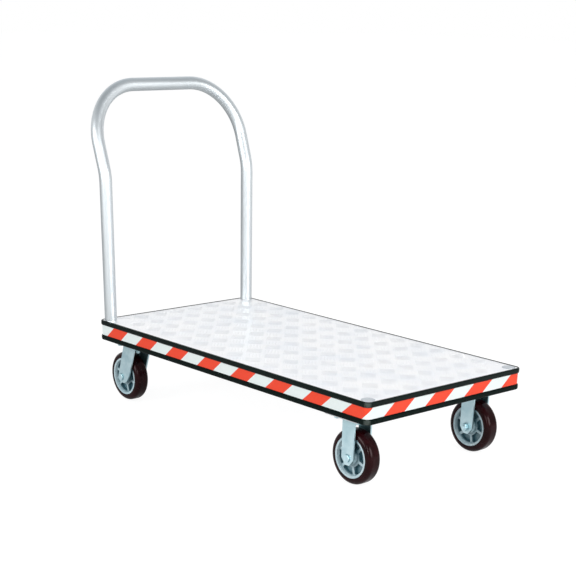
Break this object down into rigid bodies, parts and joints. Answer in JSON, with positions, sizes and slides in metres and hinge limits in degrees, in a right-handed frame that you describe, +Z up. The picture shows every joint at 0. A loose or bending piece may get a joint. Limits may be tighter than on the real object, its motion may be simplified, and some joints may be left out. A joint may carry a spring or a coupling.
{
  "type": "platform truck",
  "caption": "Flat aluminium platform truck with treadplate deck, lift-out tubular push handle, striped edge bumper, rigid front casters and swivel rear casters.",
  "frame": {"origin": "centre of the deck's top face, 254 mm above the floor", "axes": "+X along the deck towards the front, away from the handle; +Y to the truck's left; +Z up, out of the deck"},
  "size_m": [1.2929, 0.6096, 0.9564],
  "materials": {
    "aluminium_plate": "bright mill-finish treadplate",
    "aluminium_frame": "mill-finish extrusion",
    "handle_aluminium": "satin drawn tube",
    "plug_grey": "satin turned cap",
    "bumper_black": "glossy extruded black",
    "reflective_tape": "red and white retroreflective film",
    "zinc_plate": "bright blue-passivated zinc plating",
    "zinc_fastener": "zinc plated",
    "bearing_steel": "polished bearing steel",
    "wheel_core_grey": "moulded blue-grey polyolefin",
    "polyurethane": "glossy dark maroon cast polyurethane"
  },
  "bodies": {
    "deck": {"deck_plate": "aluminium_plate", "side_rail_left": "aluminium_frame", "side_rail_right": "aluminium_frame", "end_rail_front": "aluminium_frame", "end_rail_rear": "aluminium_frame", "cross_member_front": "aluminium_frame", "cross_member_middle": "aluminium_frame", "cross_member_rear": "aluminium_frame", "corner_socket_front_left": "aluminium_frame", "corner_socket_front_right": "aluminium_frame", "corner_socket_rear_left": "aluminium_frame", "corner_socket_rear_right": "aluminium_frame", "caster_pad_front_left": "aluminium_frame", "caster_pad_front_right": "aluminium_frame", "caster_pad_rear_left": "aluminium_frame", "caster_pad_rear_right": "aluminium_frame", "bumper_strip": "bumper_black", "reflective_tape": "reflective_tape", "rigid_fork_left": "zinc_plate", "rigid_fork_right": "zinc_plate", "swivel_plate_left": "zinc_plate", "swivel_plate_right": "zinc_plate", "lower_race_left": "zinc_plate", "lower_race_right": "zinc_plate", "caster_bolts": "zinc_fastener", "caster_nuts": "zinc_fastener", "caster_washers": "zinc_fastener", "axle_bolts_front": "zinc_fastener", "axle_nuts_front": "zinc_fastener", "kingpin_left": "zinc_fastener", "kingpin_right": "zinc_fastener", "kingpin_nut_left": "zinc_fastener", "kingpin_nut_right": "zinc_fastener", "axle_bushing_front_left": "bearing_steel", "axle_bushing_front_right": "bearing_steel"},
    "handle": {"handle_tube": "handle_aluminium"},
    "plug_left": {"socket_plug_left": "plug_grey"},
    "plug_right": {"socket_plug_right": "plug_grey"},
    "swivel_left": {"swivel_fork_left": "zinc_plate", "swivel_balls_left": "bearing_steel", "axle_bolt_rear_left": "zinc_fastener", "axle_nut_rear_left": "zinc_fastener", "axle_bushing_rear_left": "bearing_steel"},
    "swivel_right": {"swivel_fork_right": "zinc_plate", "swivel_balls_right": "bearing_steel", "axle_bolt_rear_right": "zinc_fastener", "axle_nut_rear_right": "zinc_fastener", "axle_bushing_rear_right": "bearing_steel"},
    "wheel_front_left": {"wheel_core_front_left": "wheel_core_grey", "wheel_tread_front_left": "polyurethane", "wheel_rollers_front_left": "bearing_steel"},
    "wheel_front_right": {"wheel_core_front_right": "wheel_core_grey", "wheel_tread_front_right": "polyurethane", "wheel_rollers_front_right": "bearing_steel"},
    "wheel_rear_left": {"wheel_core_rear_left": "wheel_core_grey", "wheel_tread_rear_left": "polyurethane", "wheel_rollers_rear_left": "bearing_steel"},
    "wheel_rear_right": {"wheel_core_rear_right": "wheel_core_grey", "wheel_tread_rear_right": "polyurethane", "wheel_rollers_rear_right": "bearing_steel"}
  },
  "joints": [
    {"name": "handle_lift", "type": "slide", "parent": "deck", "child": "handle", "axis": [0, 0, 1], "range_m": [0, 0.12]},
    {"name": "plug_left_lift", "type": "slide", "parent": "deck", "child": "plug_left", "axis": [0, 0, 1], "range_m": [0, 0.08]},
    {"name": "plug_right_lift", "type": "slide", "parent": "deck", "child": "plug_right", "axis": [0, 0, 1], "range_m": [0, 0.08]},
    {"name": "swivel_left_turn", "type": "hinge", "parent": "deck", "child": "swivel_left", "pos_m": [-0.505, 0.232, -0.1778], "axis": [0, 0, 1], "continuous": true},
    {"name": "swivel_right_turn", "type": "hinge", "parent": "deck", "child": "swivel_right", "pos_m": [-0.505, -0.232, -0.1778], "axis": [0, 0, 1], "continuous": true},
    {"name": "wheel_front_left_spin", "type": "hinge", "parent": "deck", "child": "wheel_front_left", "pos_m": [0.505, 0.236, -0.1778], "axis": [0, 1, 0], "continuous": true},
    {"name": "wheel_front_right_spin", "type": "hinge", "parent": "deck", "child": "wheel_front_right", "pos_m": [0.505, -0.236, -0.1778], "axis": [0, 1, 0], "continuous": true},
    {"name": "wheel_rear_left_spin", "type": "hinge", "parent": "swivel_left", "child": "wheel_rear_left", "pos_m": [-0.5515, 0.232, -0.1778], "axis": [0, 1, 0], "continuous": true},
    {"name": "wheel_rear_right_spin", "type": "hinge", "parent": "swivel_right", "child": "wheel_rear_right", "pos_m": [-0.5515, -0.232, -0.1778], "axis": [0, 1, 0], "continuous": true}
  ]
}
